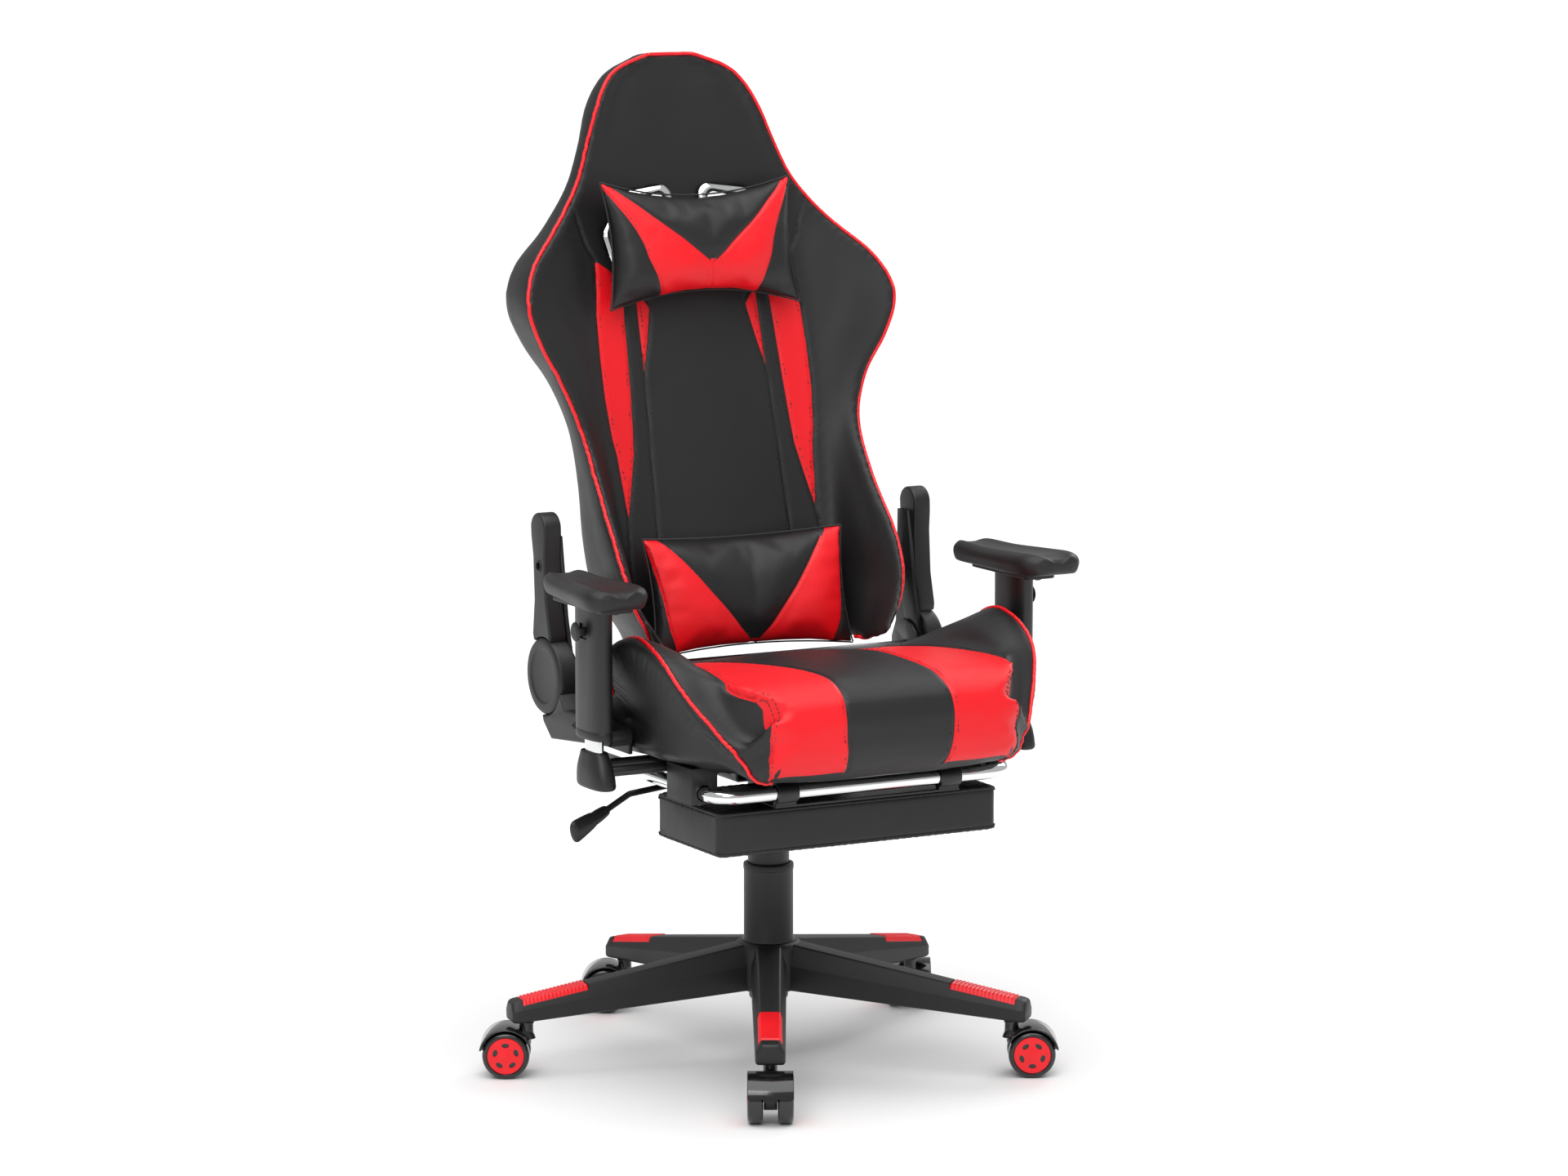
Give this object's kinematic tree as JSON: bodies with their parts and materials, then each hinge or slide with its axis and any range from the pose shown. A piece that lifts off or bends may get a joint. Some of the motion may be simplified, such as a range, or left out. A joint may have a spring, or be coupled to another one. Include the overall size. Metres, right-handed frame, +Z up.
{
  "type": "gaming chair",
  "caption": "Racing-style gaming chair with reclining winged back, pillows, adjustable arms, pull-out footrest and a star base on twin-wheel casters.",
  "frame": {"origin": "on the floor, under the middle of the chair's box", "axes": "+Z up, the sitter faces -Y; left and right in the names are as seen from in front, so left is -X"},
  "size_m": [0.7326, 0.7232, 1.2745],
  "materials": {
    "black_leather": "soft grained synthetic leather, low sheen",
    "red_leather": "soft grained synthetic leather, bright red",
    "black_nylon": "moulded, finely textured",
    "red_plastic": "moulded, satin",
    "gloss_black": "glossy moulded",
    "chrome": "polished",
    "black_steel": "powder coat",
    "grey_steel": "bright steel",
    "plywood": "raw plywood",
    "black_pad": "self-skinned polyurethane foam"
  },
  "bodies": {
    "base": {"star_base": "black_nylon", "leg_insert_1": "red_plastic", "leg_insert_2": "red_plastic", "leg_insert_3": "red_plastic", "leg_insert_4": "red_plastic", "leg_insert_5": "red_plastic", "gas_cylinder": "black_steel", "column_cover_lower": "black_nylon"},
    "caster_1": {"caster_hood_1": "gloss_black"},
    "wheels_1": {"caster_wheels_1": "gloss_black"},
    "caster_2": {"caster_hood_2": "gloss_black"},
    "wheels_2": {"caster_wheels_2": "gloss_black"},
    "caster_3": {"caster_hood_3": "gloss_black"},
    "wheels_3": {"caster_wheels_3": "gloss_black"},
    "caster_4": {"caster_hood_4": "gloss_black"},
    "wheels_4": {"caster_wheels_4": "gloss_black"},
    "caster_5": {"caster_hood_5": "gloss_black"},
    "wheels_5": {"caster_wheels_5": "gloss_black"},
    "column": {"inner_column": "chrome", "column_cover_upper": "black_nylon"},
    "mechanism": {"tilt_box": "black_steel"},
    "tension": {"tension_knob": "black_nylon"},
    "lift": {"lift_lever": "black_steel", "lever_grip": "black_nylon"},
    "seat": {"seat_plate": "black_steel", "seat_board": "plywood", "seat_cushion": "black_leather", "lower_bracket_left": "black_steel", "lower_bracket_right": "black_steel", "lower_cover_left": "black_nylon", "lower_cover_right": "black_nylon", "arm_bracket_left": "black_steel", "arm_bracket_right": "black_steel", "arm_socket_left": "black_nylon", "arm_socket_right": "black_nylon", "arm_post_left": "chrome", "arm_post_right": "chrome", "footrest_guide_left": "black_nylon", "footrest_guide_right": "black_nylon"},
    "back": {"back_frame": "black_steel", "back_cushion": "black_leather", "recliner_shaft": "grey_steel", "neck_pillow": "black_leather", "lumbar_pillow": "black_leather", "hole_trim_left": "chrome", "hole_trim_right": "chrome", "upper_cover_left": "black_nylon", "upper_cover_right": "black_nylon", "recliner_disc_left": "black_nylon", "recliner_disc_right": "black_nylon"},
    "release": {"recline_lever": "black_nylon"},
    "arm_left": {"arm_sleeve_left": "black_nylon", "arm_pad_left": "black_pad"},
    "trigger_left": {"arm_trigger_left": "black_nylon"},
    "arm_right": {"arm_sleeve_right": "black_nylon", "arm_pad_right": "black_pad"},
    "trigger_right": {"arm_trigger_right": "black_nylon"},
    "footrest": {"footrest_rail": "chrome"},
    "footrest_board": {"footrest_hinge": "black_steel", "footrest_pad": "black_leather"}
  },
  "joints": [
    {"name": "caster_swivel_1", "type": "hinge", "parent": "base", "child": "caster_1", "pos_m": [-0.13324, -0.29659, 0.08], "axis": [0, 0, 1], "continuous": true},
    {"name": "caster_roll_1", "type": "hinge", "parent": "caster_1", "child": "wheels_1", "pos_m": [-0.14498, -0.31867, 0.03], "axis": [0.8829, -0.4695, 0], "continuous": true},
    {"name": "caster_swivel_2", "type": "hinge", "parent": "base", "child": "caster_2", "pos_m": [0.24277, -0.24375, 0.08], "axis": [0, 0, 1], "continuous": true},
    {"name": "caster_roll_2", "type": "hinge", "parent": "caster_2", "child": "wheels_2", "pos_m": [0.26477, -0.25564, 0.03], "axis": [0.4756, 0.8796, 0], "continuous": true},
    {"name": "caster_swivel_3", "type": "hinge", "parent": "base", "child": "caster_3", "pos_m": [0.30871, 0.13019, 0.08], "axis": [0, 0, 1], "continuous": true},
    {"name": "caster_roll_3", "type": "hinge", "parent": "caster_3", "child": "wheels_3", "pos_m": [0.3206, 0.15219, 0.03], "axis": [-0.8796, 0.4756, 0], "continuous": true},
    {"name": "caster_swivel_4", "type": "hinge", "parent": "base", "child": "caster_4", "pos_m": [-0.02655, 0.30846, 0.08], "axis": [0, 0, 1], "continuous": true},
    {"name": "caster_roll_4", "type": "hinge", "parent": "caster_4", "child": "wheels_4", "pos_m": [-0.04854, 0.32035, 0.03], "axis": [-0.4756, -0.8796, 0], "continuous": true},
    {"name": "caster_swivel_5", "type": "hinge", "parent": "base", "child": "caster_5", "pos_m": [-0.29969, 0.04469, 0.08], "axis": [0, 0, 1], "continuous": true},
    {"name": "caster_roll_5", "type": "hinge", "parent": "caster_5", "child": "wheels_5", "pos_m": [-0.32168, 0.05658, 0.03], "axis": [-0.4756, -0.8796, 0], "continuous": true},
    {"name": "height", "type": "slide", "parent": "base", "child": "column", "axis": [0, 0, 1], "range_m": [-0.02, 0.08]},
    {"name": "seat_swivel", "type": "hinge", "parent": "column", "child": "mechanism", "pos_m": [0.0184, -0.0114, 0.372], "axis": [0, 0, 1], "continuous": true},
    {"name": "tension_turn", "type": "hinge", "parent": "mechanism", "child": "tension", "pos_m": [0.1084, 0.0136, 0.388], "axis": [1, 0, 0], "range_deg": [-360, 360]},
    {"name": "lift_lever_pull", "type": "hinge", "parent": "mechanism", "child": "lift", "pos_m": [-0.0566, -0.0464, 0.388], "axis": [0, 1, 0], "range_deg": [0, 3], "stiffness_Nm_per_rad": 6, "springref_deg": -5.73},
    {"name": "rock", "type": "hinge", "parent": "mechanism", "child": "seat", "pos_m": [0.0184, -0.0614, 0.41], "axis": [-1, 0, 0], "range_deg": [0, 12], "stiffness_Nm_per_rad": 120, "springref_deg": -20.05},
    {"name": "recline", "type": "hinge", "parent": "seat", "child": "back", "pos_m": [0.0184, 0.0686, 0.505], "axis": [-1, 0, 0], "range_deg": [-7, 55]},
    {"name": "release_pull", "type": "hinge", "parent": "seat", "child": "release", "pos_m": [0.3034, 0.0686, 0.505], "axis": [-1, 0, 0], "range_deg": [0, 25], "stiffness_Nm_per_rad": 0.6, "springref_deg": -17.19},
    {"name": "footrest_slide", "type": "slide", "parent": "seat", "child": "footrest", "axis": [0, -1, 0], "range_m": [0, 0.24]},
    {"name": "footrest_flip", "type": "hinge", "parent": "footrest", "child": "footrest_board", "pos_m": [0.0184, -0.2664, 0.397], "axis": [-1, 0, 0], "range_deg": [0, 165]},
    {"name": "arm_height_left", "type": "slide", "parent": "seat", "child": "arm_left", "axis": [0, 0, 1], "range_m": [-0.015, 0.06]},
    {"name": "trigger_pull_left", "type": "hinge", "parent": "arm_left", "child": "trigger_left", "pos_m": [-0.2971, -0.1164, 0.591], "axis": [0, 1, 0], "range_deg": [0, 15], "stiffness_Nm_per_rad": 0.12, "springref_deg": -17.19},
    {"name": "arm_height_right", "type": "slide", "parent": "seat", "child": "arm_right", "axis": [0, 0, 1], "range_m": [-0.015, 0.06]},
    {"name": "trigger_pull_right", "type": "hinge", "parent": "arm_right", "child": "trigger_right", "pos_m": [0.3339, -0.1164, 0.591], "axis": [0, -1, 0], "range_deg": [0, 15], "stiffness_Nm_per_rad": 0.12, "springref_deg": -17.19}
  ],
  "couplings": [
    {"joint": "footrest_flip", "follows": "footrest_slide", "rad_per_m": 11.9}
  ]
}
